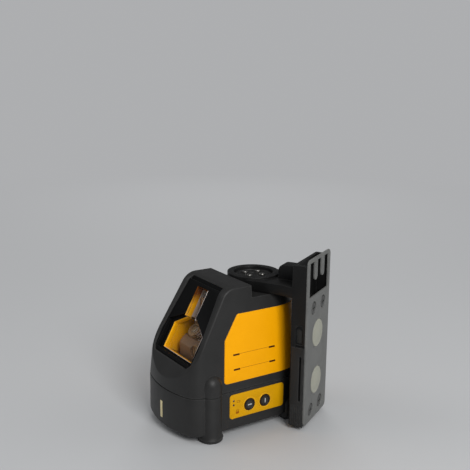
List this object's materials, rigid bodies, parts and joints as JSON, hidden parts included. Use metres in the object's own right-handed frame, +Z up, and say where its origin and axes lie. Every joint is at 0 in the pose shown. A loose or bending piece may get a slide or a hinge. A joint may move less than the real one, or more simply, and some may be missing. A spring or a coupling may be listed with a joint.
{
  "type": "cross line laser level",
  "caption": "Cross line laser level with a sloped keyhole window, side keypad, inner pendulum and a swivelling magnetic bracket with hanging slots.",
  "frame": {"origin": "on the swivel axis, which is also the tripod thread's axis, at the floor under the feet", "axes": "+Z up, -Y out of the window, +X towards the keypad side"},
  "size_m": [0.0992, 0.1287, 0.131],
  "materials": {
    "housing": "fine matte texture",
    "surround": "dark, glossy",
    "yellow": "satin",
    "clear": "clear",
    "rubber": "soft matte",
    "mark": "pale insert",
    "button": "soft matte",
    "lens": "tinted",
    "bracket": "fine matte texture",
    "back_plate": "mid grey, fine texture",
    "magnet": "pale coating",
    "steel": "plain",
    "bright_steel": "bright",
    "brass": "turned",
    "copper": "copper colour",
    "casting": "die-cast",
    "barrel": "warm anodised",
    "board": "green solder mask",
    "chip": "moulded black",
    "tray": "plain",
    "cell": "plain sleeve",
    "washer": "slippery plastic"
  },
  "bodies": {
    "housing": {"base_housing": "housing", "upper_housing": "housing", "wrap_panel": "yellow", "window_surround": "surround", "window_gasket": "rubber", "lower_window_pane": "clear", "upper_window_pane": "clear", "front_index_mark": "mark", "rubber_feet": "rubber", "housing_screws": "steel", "keypad_panel": "yellow", "keypad_board": "board", "keypad_switches": "chip", "keypad_board_screws": "steel", "indicator_lenses": "lens", "battery_tray": "tray", "battery_cells": "cell", "battery_contacts": "steel", "battery_door_pin": "steel", "tripod_insert": "brass", "pendulum_frame": "yellow", "frame_screws": "steel", "frame_bearings": "steel", "damper_magnet": "steel", "main_circuit_board": "board", "board_chips": "chip", "board_screws": "steel", "pivot_hub": "housing", "friction_washer": "washer", "wave_washer": "steel", "pivot_retainer": "bracket", "retainer_screws": "bright_steel"},
    "bracket": {"bracket_frame": "bracket", "bracket_back_plate": "back_plate", "upper_magnet": "magnet", "lower_magnet": "magnet", "magnet_yokes": "steel", "back_plate_screws": "steel"},
    "horizontal_button": {"horizontal_line_button": "button"},
    "vertical_button": {"vertical_line_button": "button"},
    "gimbal": {"gimbal_block": "steel", "gimbal_pins": "bright_steel"},
    "pendulum": {"pendulum_body": "casting", "pendulum_bearings": "steel", "vertical_laser_module": "barrel", "horizontal_laser_module": "barrel", "vertical_line_lens": "clear", "horizontal_line_lens": "clear", "damper_disc": "copper", "balance_screws": "brass"},
    "lock_slider": {"pendulum_lock_slider": "button"},
    "lock_pad": {"lock_pad": "tray"},
    "battery_door": {"battery_door": "housing"}
  },
  "joints": [
    {"name": "bracket_swivel", "type": "hinge", "parent": "housing", "child": "bracket", "pos_m": [0, 0, 0.105], "axis": [0, 0, 1], "range_deg": [-31.5, 150]},
    {"name": "horizontal_line_press", "type": "slide", "parent": "housing", "child": "horizontal_button", "axis": [-1, 0, 0], "range_m": [0, 0.0008], "stiffness_N_per_m": 800, "springref_m": -0.001},
    {"name": "vertical_line_press", "type": "slide", "parent": "housing", "child": "vertical_button", "axis": [-1, 0, 0], "range_m": [0, 0.0008], "stiffness_N_per_m": 800, "springref_m": -0.001},
    {"name": "gimbal_pitch", "type": "hinge", "parent": "housing", "child": "gimbal", "pos_m": [0, -0.03499, 0.093], "axis": [1, 0, 0], "range_deg": [-4, 4]},
    {"name": "pendulum_roll", "type": "hinge", "parent": "gimbal", "child": "pendulum", "pos_m": [0, -0.03499, 0.093], "axis": [0, 1, 0], "range_deg": [-4, 4]},
    {"name": "lock_slide", "type": "slide", "parent": "housing", "child": "lock_slider", "axis": [0, -1, 0], "range_m": [0, 0.008]},
    {"name": "lock_pad_lift", "type": "slide", "parent": "housing", "child": "lock_pad", "axis": [0, 0, 1], "range_m": [0, 0.002]},
    {"name": "battery_door_hinge", "type": "hinge", "parent": "housing", "child": "battery_door", "pos_m": [0, -0.0154, 0.0065], "axis": [1, 0, 0], "range_deg": [0, 100]}
  ],
  "couplings": [
    {"joint": "lock_pad_lift", "follows": "lock_slide", "ratio": 0.25}
  ]
}
